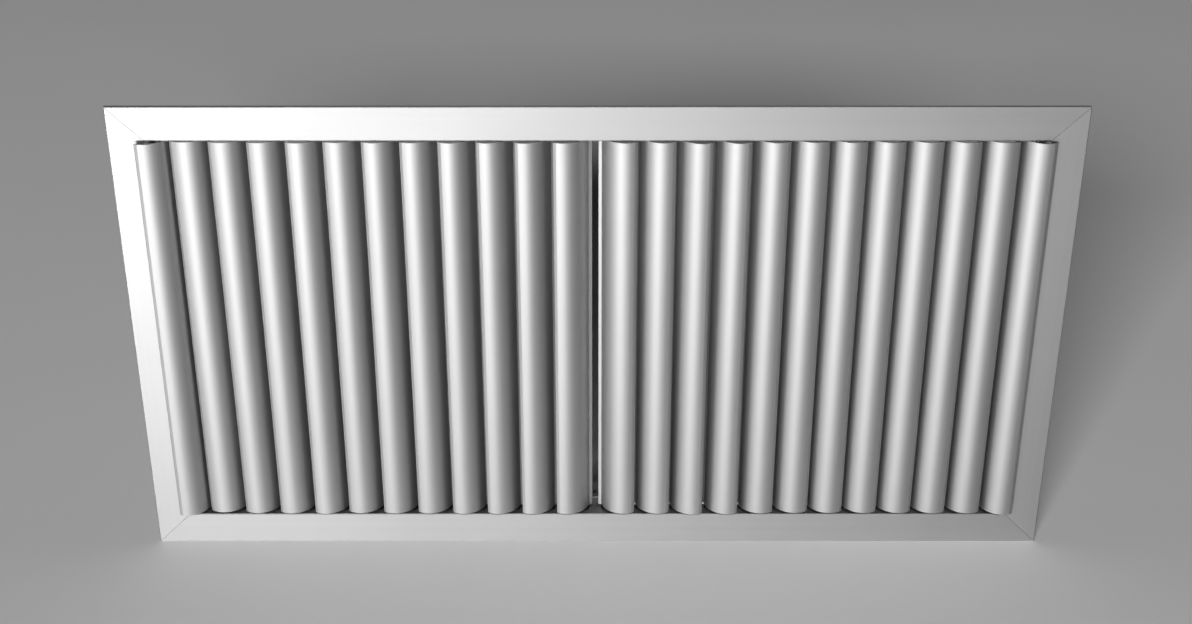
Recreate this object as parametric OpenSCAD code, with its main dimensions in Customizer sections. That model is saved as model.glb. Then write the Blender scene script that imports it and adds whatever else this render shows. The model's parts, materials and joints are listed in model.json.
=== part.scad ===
// Two-way supply grille with curved blades, for an opening of about 600 by 300 mm.
// The face looks along -Y, the blades stand upright along Z, and X runs along their row.
// The origin is the middle of the wall plane, which the flange's outer lip rests on.

/* [Blade row] */
// Distance from one pivot to the next within a bank
blade_pitch = 25; // [24:0.5:28]
// Distance between the two innermost pivots, one of each bank
centre_spacing = 17.2; // [16.8:0.1:24]
// Distance from an end pivot to the middle of the neck wall beside it, before the row is shifted
end_space = 12.4; // [11:0.2:20]
// How far the whole row sits to the right of the middle of the frame
row_shift = -1.5; // [-2:0.1:2]
// How far the foremost line of a blade stands in front of the flange's face
blade_proud = 1.8; // [1.5:0.1:3]

/* [Blade settings] */
// Angle by which the front edge of the first blade is turned out of the throat
left_end_set = 14; // [10:0.5:18]
// Angle by which the front edge of the last blade is turned out of the throat
right_end_set = 8; // [7.5:0.5:18]
// How much of their own small settings the blades between them have
trim_share = 1; // [0:0.1:1]

/* [Blade section] */
// Thickness of the blade's wall
blade_t = 1.2; // [1:0.1:1.4]
// Radius of the blade's convex face
blade_r = 16.5; // [16:0.1:17.5]
// Angle of the round part from its foremost line to the front lip
front_sweep = 22; // [15:1:26]
// Angle of the round part from its foremost line to the rear bend
rear_sweep = 72; // [66:1:74]
// Width of the flat lip along the front edge
front_lip_w = 2.6; // [1.8:0.1:3]
// Slope of the front lip back from the face
front_lip_slope = 34; // [28:1:40]
// Width of the flat lip along the rear edge
rear_lip_w = 2.4; // [1.5:0.1:2.8]
// Slope of the rear lip back from the face
rear_lip_slope = 13; // [5:1:20]
// Radius on the hollow side of the rear bend
rear_bend_r = 0.6; // [0.4:0.1:1]

/* [Pivots] */
// Place of the pivot port round the blade, from its foremost line
port_sweep = 65; // [60:1:66]
// Wall of the open port that holds the pins
port_wall = 1.2; // [0.9:0.1:1.4]
// Metal between the port's bore and the inner face of the blade
port_web = 0.4; // [0.3:0.1:0.6]
// Width of the port's open side
port_mouth = 1.6; // [1:0.1:2]
// Diameter of the pivot pins
pin_d = 4; // [3:0.1:4.2]
// Length of pin held in the blade
pin_grip = 14; // [8:1:30]
// Length of pin that stands out of the blade
pin_reach = 3.2; // [2.8:0.1:3.2]
// Radial play between a pin and its bush
pin_play = 0.05; // [0.02:0.01:0.08]
// Wall of a bush's barrel
bush_wall = 1.15; // [0.9:0.05:1.3]
// Width of the collar round a bush's barrel
bush_collar_w = 1; // [0.6:0.1:1.1]
// Thickness of a bush's collar
bush_collar_t = 1.4; // [1:0.1:1.6]
// Clearance between the top of a blade and the neck wall
blade_top_gap = 0.5; // [0.3:0.1:1.5]
// Clearance between the foot of a blade and the collar that it stands over
blade_foot_gap = 0.3; // [0.2:0.1:1]

/* [Frame] */
// Clear height of the throat
throat_h = 292; // [150:1:500]
// Width of the flange, from its outer edge to the throat
flange_w = 24; // [22:0.5:36]
// Height of the flange's face above the wall
flange_rise = 2.6; // [2.4:0.1:6]
// Thickness of the flange
flange_t = 1.5; // [1.2:0.1:1.8]
// Thickness of the lip that rests on the wall
lip_t = 1.4; // [1:0.1:2]
// Width of the bevel along the flange's outer edge
outer_bevel_w = 0.5; // [0.3:0.1:1]
// Depth of the bevel along the flange's outer edge
outer_bevel_d = 0.4; // [0.2:0.1:0.8]
// Width of the bevel along the flange's inner edge
inner_bevel_w = 0.8; // [0.3:0.1:1.5]
// Depth of the bevel along the flange's inner edge
inner_bevel_d = 0.5; // [0.2:0.1:0.8]
// Thickness of the neck walls
neck_t = 1.5; // [1.2:0.1:1.6]
// Depth of the neck behind the wall plane
neck_depth = 40; // [38:1:70]
// Hairline between two members at a mitre
mitre_gap = 0.15; // [0.05:0.05:0.3]

/* [Corner keys] */
// Width of a key's legs
key_w = 9; // [6:0.5:9.5]
// Thickness of a key
key_t = 1.8; // [1.4:0.1:2.2]
// Length of a key's legs, from its outer corner
key_leg = 30; // [20:1:60]
// Bevel of a key's outer corner
key_bevel = 1.2; // [0.5:0.1:2]
// Play round a key in its channel
key_play = 0.1; // [0.05:0.05:0.15]
// Distance from the keys' channel to the rear edge of the neck
channel_inset = 12; // [11.5:0.5:13]
// Thickness of the channel's ribs
rib_t = 1.2; // [0.8:0.1:1.3]
// Reach of the ribs' hooks over the channel
hook_w = 1.4; // [0.8:0.1:2]
// Thickness of the hooks
hook_t = 0.9; // [0.7:0.1:1.2]

/* [Wall seal] */
// Width of the foam strip behind the flange
seal_w = 6; // [3:0.5:6]
// Distance from the lip to the foam strip
seal_inset = 2; // [0.5:0.1:4]

/* [Fixing holes] */
// Diameter of the fixing holes in the side neck walls
fixing_d = 4.5; // [3.5:0.1:5.5]
// Height from one fixing hole to the other
fixing_spacing = 200; // [80:5:240]
// Distance from the fixing holes to the rear edge of the neck
fixing_inset = 8; // [6:0.5:12]

/* [Hidden] */
BANK = 12;
// Small settings of the single blades as they were left, from the left end to the right end.
// Positive turns the front edge out of the throat. The end blades have their own values above.
LEFT_TRIM = [0, -7, -2, 0, 2, -2, 0, 0, 2, 3, 4, 3.5];
RIGHT_TRIM = [2, 1.5, 7, 5, 0, -3, -2.5, -2, -2, 0, 0, 0];
$fn = 64;
CUT = 1;

throat_w = centre_spacing + 2 * (BANK - 1) * blade_pitch + 2 * end_space;
face_w = throat_w + 2 * flange_w;
face_h = throat_h + 2 * flange_w;
face_y = -flange_rise;

bore_r = pin_d / 2 + pin_play;
barrel_r = bore_r + bush_wall;
collar_r = barrel_r + bush_collar_w;
socket_r = barrel_r + pin_play;
port_bore_r = pin_d / 2 + pin_play / 2;
port_r = port_bore_r + port_wall;

// Places in the blade's section are measured from the middle of its round part
function on_round(r, sweep) = r * [sin(sweep), -cos(sweep)];
port_at = on_round(blade_r - blade_t - port_web - port_bore_r, port_sweep);
pivot_y = face_y - blade_proud + blade_r + port_at.y;

foot_z = -throat_h / 2 + bush_collar_t + blade_foot_gap;
head_z = throat_h / 2 - blade_top_gap;

neck_outer = flange_w - neck_t;
neck_end = flange_rise + neck_depth;
channel_t = key_t + 2 * key_play;
channel_w = key_w + 2 * key_play;
channel_far = neck_end - channel_inset - rib_t;
channel_near = channel_far - channel_w;
channel_h = channel_t + hook_t;

// Blades 1 to 12 are the left bank, and 13 to 24 the right bank
function is_left(n) = n <= BANK;
function from_middle(n) = is_left(n) ? BANK - n : n - BANK - 1;
function side(n) = is_left(n) ? -1 : 1;
function pivot_x(n) = row_shift + side(n) * (centre_spacing / 2 + from_middle(n) * blade_pitch);
function blade_set(n) = n == 1 ? left_end_set
    : n == 2 * BANK ? right_end_set
    : trim_share * (is_left(n) ? LEFT_TRIM[n - 1] : RIGHT_TRIM[n - BANK - 1]);
function two_digits(n) = n < 10 ? str("0", n) : str(n);
function blade_name(n) = str("blade_", two_digits(n));
function pins_name(n) = str("pivot_pins_", two_digits(n));

FRAME_NODES = [
    "frame_top", "frame_bottom", "frame_left", "frame_right",
    "corner_key_top_left", "corner_key_top_right", "corner_key_bottom_left", "corner_key_bottom_right",
    "wall_seal", "bushes_top", "bushes_bottom"
];

// Frame

// Section of a frame member: X is the distance in from the outer edge, Y the depth behind the face
module member_section() {
    polygon([
        [0, flange_rise], [0, outer_bevel_d], [outer_bevel_w, 0],
        [flange_w - inner_bevel_w, 0], [flange_w, inner_bevel_d],
        [flange_w, neck_end], [neck_outer, neck_end],
        [neck_outer, flange_t], [lip_t, flange_t], [lip_t, flange_rise]
    ]);
    // Two hooked ribs inside the neck, between which a key slides
    translate([neck_outer + neck_t / 2, channel_near - rib_t]) square([neck_t / 2 + channel_h, rib_t]);
    translate([neck_outer + neck_t / 2, channel_far]) square([neck_t / 2 + channel_h, rib_t]);
    translate([flange_w + channel_t, channel_near - rib_t / 2]) square([hook_t, rib_t / 2 + hook_w]);
    translate([flange_w + channel_t, channel_far - hook_w]) square([hook_t, rib_t / 2 + hook_w]);
}

// A member along X with its outer edge at the top, cut at 45 degrees at both ends
module member(length) {
    half = length / 2 - mitre_gap / sqrt(2);
    deep = flange_w + channel_h + CUT;
    intersection() {
        translate([-length / 2, face_y, 0]) rotate([90, 0, 90]) linear_extrude(length)
            rotate(-90) member_section();
        rotate([90, 0, 0]) linear_extrude(3 * neck_end, center = true)
            polygon([[-half, 0], [half, 0], [half - deep, -deep], [-half + deep, -deep]]);
    }
}

// One round hole for each blade's bush, through a wall whose middle is at z
module bush_sockets(z) {
    for (n = [1:2 * BANK])
        translate([pivot_x(n), pivot_y, z]) cylinder(r = socket_r, h = 2 * neck_t, center = true);
}

module long_member() {
    member(face_w);
}

module side_member() {
    difference() {
        rotate([0, 90, 0]) member(face_h);
        for (z = [-1, 1])
            translate([-flange_w + neck_t / 2, neck_depth - fixing_inset, z * fixing_spacing / 2])
                rotate([0, 90, 0]) cylinder(d = fixing_d, h = 2 * neck_t, center = true);
    }
}

module frame_top() {
    color("silver") difference() {
        translate([0, 0, face_h / 2]) long_member();
        bush_sockets((throat_h + neck_t) / 2);
    }
}

module frame_bottom() {
    color("silver") difference() {
        translate([0, 0, -face_h / 2]) mirror([0, 0, 1]) long_member();
        bush_sockets(-(throat_h + neck_t) / 2);
    }
}

module frame_right() {
    color("silver") translate([face_w / 2, 0, 0]) side_member();
}

module frame_left() {
    color("silver") mirror([1, 0, 0]) translate([face_w / 2, 0, 0]) side_member();
}

// A flat bar bent to an L, in the channels of the two members that meet at a corner
module corner_key(right, up) {
    edge_x = throat_w / 2 - key_play;
    edge_z = throat_h / 2 - key_play;
    color("gainsboro")
    mirror([right > 0 ? 0 : 1, 0, 0]) mirror([0, 0, up > 0 ? 0 : 1])
        translate([edge_x, face_y + channel_far - key_play, edge_z]) rotate([90, 0, 0]) linear_extrude(key_w)
            polygon([
                [-key_leg, 0], [-key_bevel, 0], [0, -key_bevel], [0, -key_leg],
                [-key_t, -key_leg], [-key_t, -key_t], [-key_leg, -key_t]
            ]);
}

module wall_seal() {
    outer = lip_t + seal_inset;
    inner = outer + seal_w;
    color("dimgray") rotate([90, 0, 0]) linear_extrude(flange_rise - flange_t) difference() {
        square([face_w - 2 * outer, face_h - 2 * outer], center = true);
        square([face_w - 2 * inner, face_h - 2 * inner], center = true);
    }
}

// Pivots

// A collared bush with its collar from z = 0 up and its barrel down through the neck wall
module bush() {
    difference() {
        union() {
            cylinder(r = collar_r, h = bush_collar_t);
            translate([0, 0, -neck_t]) cylinder(r = barrel_r, h = neck_t + bush_collar_t / 2);
        }
        translate([0, 0, -neck_t - CUT]) cylinder(r = bore_r, h = neck_t + bush_collar_t + 2 * CUT);
    }
}

// The lower bushes have their collars inside the throat, the upper ones outside the neck
module bushes_bottom() {
    color("whitesmoke") for (n = [1:2 * BANK])
        translate([pivot_x(n), pivot_y, -throat_h / 2]) bush();
}

module bushes_top() {
    color("whitesmoke") for (n = [1:2 * BANK])
        translate([pivot_x(n), pivot_y, throat_h / 2 + neck_t]) bush();
}

module pivot_pins(n) {
    color("lightsteelblue") translate([pivot_x(n), pivot_y, 0]) {
        translate([0, 0, foot_z - pin_reach]) cylinder(d = pin_d, h = pin_reach + pin_grip);
        translate([0, 0, head_z - pin_grip]) cylinder(d = pin_d, h = pin_reach + pin_grip);
    }
}

// Blades

// The part of the plane between two directions from the origin, as far as r
module wedge(from, to, r) {
    middle = (from + to) / 2;
    polygon([[0, 0], on_round(2 * r, from), on_round(2 * r, middle), on_round(2 * r, to)]);
}

// A flat strip along +X under the X axis, with a round tip
module lip(width) {
    translate([0, -blade_t]) square([width - blade_t / 2, blade_t]);
    translate([width - blade_t / 2, -blade_t / 2]) circle(d = blade_t);
}

// Section of a blade of the left bank about its pivot: the convex face looks along -Y
module blade_section() {
    bend_at = on_round(blade_r + rear_bend_r, rear_sweep);
    translate(-port_at) difference() {
        union() {
            intersection() {
                difference() {
                    circle(blade_r);
                    circle(blade_r - blade_t);
                }
                wedge(-front_sweep, rear_sweep, blade_r);
            }
            translate(on_round(blade_r, -front_sweep)) rotate(180 - front_lip_slope) lip(front_lip_w);
            translate(bend_at) {
                intersection() {
                    difference() {
                        circle(rear_bend_r + blade_t);
                        circle(rear_bend_r);
                    }
                    wedge(180 + rear_lip_slope, 180 + rear_sweep, rear_bend_r + blade_t);
                }
                translate(on_round(rear_bend_r, 180 + rear_lip_slope)) rotate(rear_lip_slope)
                    mirror([0, 1]) lip(rear_lip_w);
            }
            translate(port_at) circle(port_r);
        }
        translate(port_at) {
            circle(port_bore_r);
            rotate(port_sweep) translate([-port_mouth / 2, 0]) square([port_mouth, 2 * port_r]);
        }
    }
}

module blade(n) {
    color("lightgray") translate([pivot_x(n), pivot_y, foot_z]) linear_extrude(head_z - foot_z)
        mirror([is_left(n) ? 0 : 1, 0]) rotate(blade_set(n)) blade_section();
}

frame_top();
frame_bottom();
frame_left();
frame_right();
corner_key(-1, 1);  // corner_key_top_left
corner_key(1, 1);  // corner_key_top_right
corner_key(-1, -1);  // corner_key_bottom_left
corner_key(1, -1);  // corner_key_bottom_right
wall_seal();
bushes_top();
bushes_bottom();
for (n = [1:2 * BANK]) {
    blade(n);
    pivot_pins(n);
}
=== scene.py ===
import json
import math
import random

import bmesh
import bpy
from mathutils import Euler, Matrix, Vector

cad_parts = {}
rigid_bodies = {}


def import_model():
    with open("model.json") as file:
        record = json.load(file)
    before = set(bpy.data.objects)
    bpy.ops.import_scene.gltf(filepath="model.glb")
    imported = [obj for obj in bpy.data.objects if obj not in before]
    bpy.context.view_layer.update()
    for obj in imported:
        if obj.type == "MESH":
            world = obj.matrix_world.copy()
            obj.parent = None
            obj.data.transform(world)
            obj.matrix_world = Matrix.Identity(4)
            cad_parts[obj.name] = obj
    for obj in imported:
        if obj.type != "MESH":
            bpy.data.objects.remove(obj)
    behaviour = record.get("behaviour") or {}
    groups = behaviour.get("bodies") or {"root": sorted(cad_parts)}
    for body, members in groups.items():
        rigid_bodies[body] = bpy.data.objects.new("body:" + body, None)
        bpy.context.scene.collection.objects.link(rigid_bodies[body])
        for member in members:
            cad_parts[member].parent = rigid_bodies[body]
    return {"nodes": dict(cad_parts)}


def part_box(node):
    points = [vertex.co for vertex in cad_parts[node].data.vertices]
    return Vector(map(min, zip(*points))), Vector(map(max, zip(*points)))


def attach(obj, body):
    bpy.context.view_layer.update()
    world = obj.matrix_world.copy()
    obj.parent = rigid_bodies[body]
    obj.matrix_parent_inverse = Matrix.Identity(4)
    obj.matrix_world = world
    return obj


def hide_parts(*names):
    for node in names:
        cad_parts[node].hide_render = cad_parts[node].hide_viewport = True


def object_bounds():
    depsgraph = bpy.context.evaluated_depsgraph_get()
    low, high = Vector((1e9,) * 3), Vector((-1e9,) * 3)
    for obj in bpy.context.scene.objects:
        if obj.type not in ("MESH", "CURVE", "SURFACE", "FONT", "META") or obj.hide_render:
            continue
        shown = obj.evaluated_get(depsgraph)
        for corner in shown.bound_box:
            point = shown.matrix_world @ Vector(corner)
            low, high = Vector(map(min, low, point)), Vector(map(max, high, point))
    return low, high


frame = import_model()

cad_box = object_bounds()
FLOOR_Z = cad_box[0].z
MM = 0.001

# Camera, fitted to the flange's corners in the photograph: place in metres, pitch in degrees, lens in mm
CAMERA_PLACE = (-0.001, -1.1166, 0.6091)
CAMERA_PITCH = 27.866
CAMERA_LENS = 55.573
SENSOR_WIDTH = 36.0
NEAR_CLIP = 0.01
FAR_CLIP = 100.0

# Soft studio light: name, place, aim, width and height in metres, power in watts, and what it lights.
# The lights on the part shine through the floor. The lights on the floor stand beyond the camera, so the
# part's shadow falls behind it.
PART = "part"
FLOOR = "floor"
PART_AIM = (0.0, 0.0, 0.0)
FLOOR_AIM = (0.0, 0.3, FLOOR_Z)
LIGHTS = [
    ("key_low", (-0.62, -1.69, -0.32), PART_AIM, (1.0, 0.24), 15.0, PART),
    ("key_side", (-2.0, -1.3, -0.3), PART_AIM, (0.8, 0.3), 5.0, PART),
    ("top_front", (0.0, -1.4, 1.4), PART_AIM, (1.2, 0.4), 9.0, PART),
    ("overhead", (0.0, 0.2, 2.0), PART_AIM, (1.2, 0.6), 8.0, PART),
    ("floor_wash", (0.0, -15.4, 6.4), FLOOR_AIM, (3.8, 3.0), 1350.0, FLOOR),
    ("floor_left", (-5.5, -14.7, 6.4), FLOOR_AIM, (3.8, 3.0), 1010.0, FLOOR),
    ("back_fill", (0.0, 2.3, -0.3), PART_AIM, (1.5, 0.3), 15.0, PART),
]
WORLD_LIGHT = 0.015
VIEW_TRANSFORM = "Standard"
CONTRAST = "High Contrast"

# A finish blends two greys, each given as its brightness and how much bluer it is than neutral.
# A texture is given in marks to a metre: one number for all directions, a pair for across and along the
# lines of a drawn or rolled metal, or one number each for X, Y and Z.
NEUTRAL = 0.0
X_AXIS = 0
Z_AXIS = 2

# Noise lies mostly between these two values
NOISE_RANGE = (0.3, 0.7)

# Anodised aluminium of the frame and the blades
FRAME_TONE = 0.52
# The uprights are the same metal as the long members, given a brighter tone: painted light, standing in
# for the stronger reflection they catch
UPRIGHT_PAINTED_LIGHT_TONE = 0.535
BLADE_TONE = 0.52
TONE_SWING = 0.045
ANODISED_ROUGHNESS = (0.535, 0.605)
DIE_LINES = (1600.0, 5.0)
DIE_BANDS = (260.0, 1.5)
CLOUDS = 9.0
GRAIN = 5200.0
SHADE_SHARES = (0.35, 0.35, 0.3)
RELIEF_SHARES = (0.55, 0.15, 0.3)
ANODISED_RELIEF = 0.012 * MM

# Saw marks, on cut ends: the surfaces whose normal has more than CUT_END of its length up or down
SAW_MARKS = (2600.0, 240.0, 5.0)
CUT_END = 0.7

# Rolled flat bar of the corner keys
MILL_GREYS = ((0.58, NEUTRAL), (0.7, NEUTRAL))
MILL_ROUGHNESS = (0.28, 0.42)
ROLLED_LINES = (1400.0, 30.0)
SCUFFS = (420.0, 90.0, 600.0)
MILL_SHARES = (0.5, 0.5)
MILL_RELIEF = 0.015 * MM

# Zinc plating of the pins
ZINC_GREYS = ((0.5, 0.02), (0.64, 0.03))
ZINC_ROUGHNESS = (0.26, 0.4)
TURNED_LINES = (60.0, 60.0, 5200.0)
ZINC_PATCHES = 700.0
ZINC_RELIEF = 0.01 * MM

# Moulded plastic of the bushes
PLASTIC_GREYS = ((0.018, NEUTRAL), (0.03, NEUTRAL))
PLASTIC_ROUGHNESS = (0.42, 0.6)
SPARKS = 6000.0
MOULD_FLOW = 500.0
PLASTIC_RELIEF = 0.012 * MM

# Closed-cell foam of the wall seal
FOAM_GREYS = ((0.014, NEUTRAL), (0.04, NEUTRAL))
FOAM_ROUGHNESS = (0.8, 0.95)
FOAM_CELLS = 2100.0
# Painted shade: the foam runs from the darker grey in the grooves between cells to the lighter grey in
# their middles
PAINTED_CELL_SHADE_RANGE = (0.0, 0.25)
FOAM_SOFTNESS = 300.0
FOAM_SHARES = (0.7, 0.6)
FOAM_RELIEF = 0.12 * MM

# The foam strip: width, round edges, gap at a butt joint, distance between sections, and unevenness
FOAM_WIDTH = 6 * MM
FOAM_EDGE = 0.35 * MM
EDGE_STEPS = 2
FOAM_BUTT = 0.3 * MM
FOAM_STEP = 9 * MM
FOAM_WAVE = 0.16 * MM
FOAM_SEED = 7

# Floor
FLOOR_HALF = 15.0
FLOOR_GREYS = ((0.78, NEUTRAL), (0.82, NEUTRAL))
FLOOR_ROUGHNESS = 0.9
FLOOR_CLOUDS = 3.0
FLOOR_TOOTH = 900.0
FLOOR_RELIEF = 0.02 * MM


def link(thing):
    bpy.context.scene.collection.objects.link(thing)


def put_camera():
    camera = bpy.data.objects.new("camera", bpy.data.cameras.new("camera"))
    link(camera)
    camera.location = CAMERA_PLACE
    camera.rotation_euler = Euler((math.radians(90 - CAMERA_PITCH), 0, 0))
    camera.data.sensor_width = SENSOR_WIDTH
    camera.data.lens = CAMERA_LENS
    camera.data.clip_start = NEAR_CLIP
    camera.data.clip_end = FAR_CLIP
    bpy.context.scene.camera = camera


def put_world(strength):
    world = bpy.data.worlds.new("studio")
    world.use_nodes = True
    background = world.node_tree.nodes["Background"]
    background.inputs["Color"].default_value = (1.0, 1.0, 1.0, 1.0)
    background.inputs["Strength"].default_value = strength
    bpy.context.scene.world = world


def put_floor(material):
    mesh = bpy.data.meshes.new("floor")
    signs = ((-1, -1), (1, -1), (1, 1), (-1, 1))
    mesh.from_pydata([(x * FLOOR_HALF, y * FLOOR_HALF, FLOOR_Z) for x, y in signs], [], [(0, 1, 2, 3)])
    mesh.materials.append(material)
    floor = bpy.data.objects.new("floor", mesh)
    link(floor)
    return floor


def put_softbox(name, place, aim, size, power, lit, blockers):
    """An area light on the objects in lit, shadowed by those in blockers, or by all where it is None."""
    light = bpy.data.lights.new(name, "AREA")
    light.shape = "RECTANGLE"
    light.size, light.size_y = size
    light.energy = power
    lamp = bpy.data.objects.new(name, light)
    lamp.location = place
    lamp.rotation_euler = (Vector(place) - Vector(aim)).to_track_quat("Z", "Y").to_euler()
    lamp.visible_camera = False
    lamp.light_linking.receiver_collection = lit
    lamp.light_linking.blocker_collection = blockers
    link(lamp)


def put_lights(floor):
    groups = {name: bpy.data.collections.new(f"lit_{name}") for name in (PART, FLOOR)}
    for thing in bpy.context.scene.objects:
        if thing.type == "MESH":
            groups[FLOOR if thing == floor else PART].objects.link(thing)
    for name, place, aim, size, power, group in LIGHTS:
        blockers = groups[PART] if group == PART else None
        put_softbox(name, place, aim, size, power, groups[group], blockers)


# Materials


class Shader:
    """A node material under construction."""

    def __init__(self, name):
        self.material = bpy.data.materials.new(name)
        self.material.use_nodes = True
        self.tree = self.material.node_tree
        self.surface = self.tree.nodes["Principled BSDF"]

    def add(self, kind, inputs=None, **settings):
        node = self.tree.nodes.new(kind)
        for key, value in settings.items():
            setattr(node, key, value)
        for key, value in (inputs or {}).items():
            self.put(node, key, value)
        return node

    def put(self, node, key, value):
        """Links value to an input if it is a socket, and sets it if it is a number or colour."""
        if isinstance(value, bpy.types.NodeSocket):
            self.tree.links.new(value, node.inputs[key])
        else:
            node.inputs[key].default_value = value

    def set(self, **values):
        for key, value in values.items():
            self.put(self.surface, key.replace("_", " "), value)

    def place(self, scale):
        """Coordinates of the surface in the part's own frame, in metres, times scale."""
        coordinates = self.add("ShaderNodeTexCoord")
        mapping = self.add("ShaderNodeMapping", {"Vector": coordinates.outputs["Object"], "Scale": scale})
        return mapping.outputs["Vector"]

    def noise(self, scale, detail=2.0, roughness=0.5):
        texture = self.add(
            "ShaderNodeTexNoise",
            {"Vector": self.place(scale), "Scale": 1.0, "Detail": detail, "Roughness": roughness},
        )
        return texture.outputs["Fac"]

    def cells(self, scale):
        """0 at the walls between foam cells, rising to their middles."""
        texture = self.add(
            "ShaderNodeTexVoronoi",
            {"Vector": self.place(scale), "Scale": 1.0},
            feature="DISTANCE_TO_EDGE",
        )
        return texture.outputs["Distance"]

    def cut_ends(self):
        """1 on a surface that looks up or down the part's Z axis, 0 elsewhere."""
        coordinates = self.add("ShaderNodeTexCoord")
        parts = self.add("ShaderNodeSeparateXYZ", {"Vector": coordinates.outputs["Normal"]})
        return self.math("GREATER_THAN", self.math("ABSOLUTE", parts.outputs["Z"], 0.0), CUT_END)

    def span(self, value, low=0.0, high=1.0, within=NOISE_RANGE):
        """Stretches value, so that the ends of within become low and high."""
        start, end = within
        ranged = self.add(
            "ShaderNodeMapRange",
            {"Value": value, "From Min": start, "From Max": end, "To Min": low, "To Max": high},
        )
        return ranged.outputs["Result"]

    def math(self, operation, a, b):
        node = self.add("ShaderNodeMath", operation=operation)
        self.put(node, 0, a)
        self.put(node, 1, b)
        return node.outputs["Value"]

    def total(self, values, shares):
        """The sum of the values, each times its share."""
        parts = [self.math("MULTIPLY", value, share) for value, share in zip(values, shares)]
        result = parts[0]
        for part in parts[1:]:
            result = self.math("ADD", result, part)
        return result

    def choose(self, factor, a, b):
        """Value a where factor is 0 and value b where it is 1."""
        mixed = self.add("ShaderNodeMix", data_type="FLOAT")
        self.put(mixed, 0, factor)
        self.put(mixed, 2, a)
        self.put(mixed, 3, b)
        return mixed.outputs[0]

    def blend(self, factor, greys):
        """The first of two greys where factor is 0 and the second where it is 1."""
        mixed = self.add("ShaderNodeMix", data_type="RGBA")
        self.put(mixed, 0, factor)
        self.put(mixed, 6, grey(*greys[0]))
        self.put(mixed, 7, grey(*greys[1]))
        return mixed.outputs[2]

    def bump(self, height, distance):
        bumped = self.add("ShaderNodeBump", {"Height": height, "Distance": distance})
        return bumped.outputs["Normal"]


def grey(value, blue):
    """A grey, a little cooler where blue is above zero."""
    return (value * (1 - blue), value * (1 - blue / 3), value * (1 + blue), 1.0)


def even(marks):
    """Marks to a metre that are the same in all directions."""
    return [marks] * 3


def drawn_out(marks, axis):
    """Marks to a metre along X, Y and Z, from those across and along one axis."""
    across, along = marks
    scale = even(across)
    scale[axis] = along
    return scale


def anodised_aluminium(name, axis, tone):
    """Satin anodised extrusion with die lines along one axis, and saw marks on its cut ends."""
    shader = Shader(name)
    lines = shader.noise(drawn_out(DIE_LINES, axis), detail=3.0, roughness=0.6)
    bands = shader.noise(drawn_out(DIE_BANDS, axis))
    clouds = shader.noise(even(CLOUDS))
    grain = shader.noise(even(GRAIN))
    saw = shader.noise(SAW_MARKS)
    end = shader.cut_ends()
    shade = shader.total((lines, bands, clouds), SHADE_SHARES)
    drawn = shader.total((lines, bands, grain), RELIEF_SHARES)
    greys = ((tone * (1 - TONE_SWING), NEUTRAL), (tone * (1 + TONE_SWING), NEUTRAL))
    shader.set(
        Base_Color=shader.blend(shader.choose(end, shader.span(shade), saw), greys),
        Metallic=1.0,
        Roughness=shader.span(drawn, *ANODISED_ROUGHNESS),
        Normal=shader.bump(shader.choose(end, drawn, saw), ANODISED_RELIEF),
    )
    return shader.material


def mill_finish():
    """Rolled flat bar, brighter than the anodised metal, with rolling lines and scuffs."""
    shader = Shader("mill_finish")
    rolled = shader.noise(drawn_out(ROLLED_LINES, X_AXIS), detail=3.0)
    scuffs = shader.noise(SCUFFS, detail=4.0, roughness=0.7)
    mixed = shader.total((rolled, scuffs), MILL_SHARES)
    shader.set(
        Base_Color=shader.blend(shader.span(mixed), MILL_GREYS),
        Metallic=1.0,
        Roughness=shader.span(mixed, *MILL_ROUGHNESS),
        Normal=shader.bump(mixed, MILL_RELIEF),
    )
    return shader.material


def zinc_plate():
    """Turned steel pins with a thin bluish zinc plating."""
    shader = Shader("zinc_plate")
    turned = shader.noise(TURNED_LINES)
    patches = shader.noise(even(ZINC_PATCHES), detail=3.0)
    shader.set(
        Base_Color=shader.blend(shader.span(patches), ZINC_GREYS),
        Metallic=1.0,
        Roughness=shader.span(patches, *ZINC_ROUGHNESS),
        Normal=shader.bump(turned, ZINC_RELIEF),
    )
    return shader.material


def moulded_plastic():
    """Matt black moulded plastic with a fine spark texture."""
    shader = Shader("moulded_plastic")
    sparks = shader.noise(even(SPARKS), detail=3.0)
    flow = shader.noise(even(MOULD_FLOW))
    shader.set(
        Base_Color=shader.blend(flow, PLASTIC_GREYS),
        Roughness=shader.span(sparks, *PLASTIC_ROUGHNESS),
        Normal=shader.bump(sparks, PLASTIC_RELIEF),
    )
    return shader.material


def closed_cell_foam():
    """Black foam with cells of about half a millimetre under a thin skin, with painted shade in the
    grooves between cells.
    """
    shader = Shader("closed_cell_foam")
    cells = shader.cells(even(FOAM_CELLS))
    soft = shader.noise(even(FOAM_SOFTNESS), detail=3.0)
    shader.set(
        # Painted shade: the base colour is darker in the low grooves between the cells
        Base_Color=shader.blend(shader.span(cells, within=PAINTED_CELL_SHADE_RANGE), FOAM_GREYS),
        Roughness=shader.span(soft, *FOAM_ROUGHNESS),
        Normal=shader.bump(shader.total((cells, soft), FOAM_SHARES), FOAM_RELIEF),
    )
    return shader.material


def studio_floor():
    shader = Shader("studio_floor")
    clouds = shader.noise(even(FLOOR_CLOUDS))
    tooth = shader.noise(even(FLOOR_TOOTH))
    shader.set(
        Base_Color=shader.blend(clouds, FLOOR_GREYS),
        Roughness=FLOOR_ROUGHNESS,
        Normal=shader.bump(tooth, FLOOR_RELIEF),
    )
    return shader.material


def dress(node, material):
    mesh = frame["nodes"][node].data
    mesh.materials.clear()
    mesh.materials.append(material)


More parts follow.
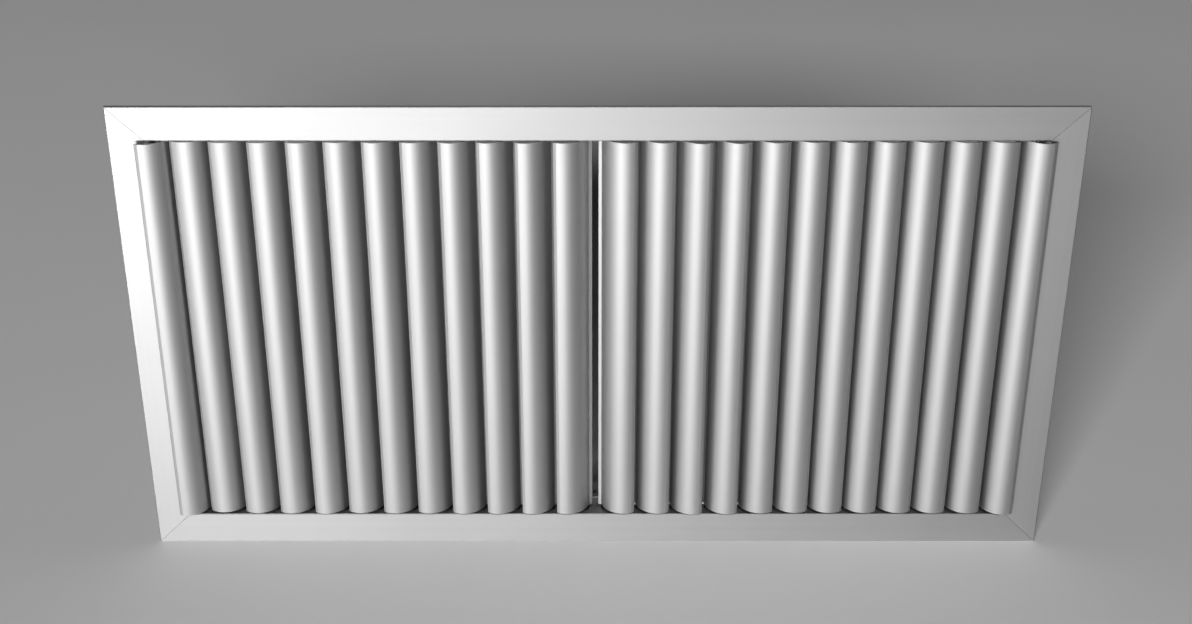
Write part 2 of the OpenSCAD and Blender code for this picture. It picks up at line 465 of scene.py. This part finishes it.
def dress_all(foam):
    """Gives each CAD node the finish whose key its name starts with."""
    long_member = anodised_aluminium("anodised_frame_long", X_AXIS, FRAME_TONE)
    # The uprights' brighter tone is painted light
    upright_member_painted_light = anodised_aluminium("anodised_frame_upright_painted_light", Z_AXIS, UPRIGHT_PAINTED_LIGHT_TONE)
    finishes = {
        "frame_top": long_member,
        "frame_bottom": long_member,
        "frame_left": upright_member_painted_light,
        "frame_right": upright_member_painted_light,
        "blade": anodised_aluminium("anodised_blade", Z_AXIS, BLADE_TONE),
        "pivot_pins": zinc_plate(),
        "bushes": moulded_plastic(),
        "corner_key": mill_finish(),
        "wall_seal": foam,
    }
    for node in frame["nodes"]:
        dress(node, next(finish for start, finish in finishes.items() if node.startswith(start)))


# The foam strip: four lengths with butt joints, soft edges and slightly uneven sides


def foam_section(half_width, low_y, high_y):
    """Points round the strip's section, with round edges, as offsets across it and places in Y."""
    side = half_width - FOAM_EDGE
    front = low_y + FOAM_EDGE
    back = high_y - FOAM_EDGE
    points = []
    for quarter, (across, y) in enumerate(((side, back), (side, front), (-side, front), (-side, back))):
        for step in range(EDGE_STEPS + 1):
            angle = math.radians(90 * (1 - quarter - step / EDGE_STEPS))
            points.append((across + FOAM_EDGE * math.cos(angle), y + FOAM_EDGE * math.sin(angle)))
    return points


def add_foam_strip(mesh, start, end, low_y, high_y):
    """A strip from start to end, two points in X and Z."""
    start, end = Vector(start), Vector(end)
    direction = (end - start).normalized()
    sideways = Vector((-direction.y, direction.x))
    count = max(2, round((end - start).length / FOAM_STEP))
    rings = []
    for i in range(count + 1):
        middle = start.lerp(end, i / count)
        half_width = FOAM_WIDTH / 2 - random.uniform(0, FOAM_WAVE)
        wall_y = high_y - random.uniform(0, FOAM_WAVE / 2)
        ring = []
        for across, y in foam_section(half_width, low_y, wall_y):
            spot = middle + sideways * across
            ring.append(mesh.verts.new((spot.x, y, spot.y)))
        rings.append(ring)
    for before, after in zip(rings, rings[1:]):
        for k in range(len(before)):
            n = (k + 1) % len(before)
            mesh.faces.new((before[k], before[n], after[n], after[k])).smooth = True
    mesh.faces.new(rings[0])
    mesh.faces.new(rings[-1])


def make_foam_seal(material):
    low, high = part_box("wall_seal")
    random.seed(FOAM_SEED)
    inset = FOAM_WIDTH / 2
    x, z = high.x - inset, high.z - inset
    butt = z - inset - FOAM_BUTT
    mesh = bmesh.new()
    for side in (-1, 1):
        add_foam_strip(mesh, (low.x, side * z), (high.x, side * z), low.y, high.y)
        add_foam_strip(mesh, (side * x, -butt), (side * x, butt), low.y, high.y)
    bmesh.ops.recalc_face_normals(mesh, faces=mesh.faces)
    data = bpy.data.meshes.new("foam_seal")
    mesh.to_mesh(data)
    mesh.free()
    data.materials.append(material)
    seal = bpy.data.objects.new("foam_seal", data)
    link(seal)
    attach(seal, "frame")
    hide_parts("wall_seal")


put_camera()
put_world(WORLD_LIGHT)
floor = put_floor(studio_floor())
foam = closed_cell_foam()
dress_all(foam)
make_foam_seal(foam)
put_lights(floor)
bpy.context.scene.view_settings.view_transform = VIEW_TRANSFORM
bpy.context.scene.view_settings.look = CONTRAST
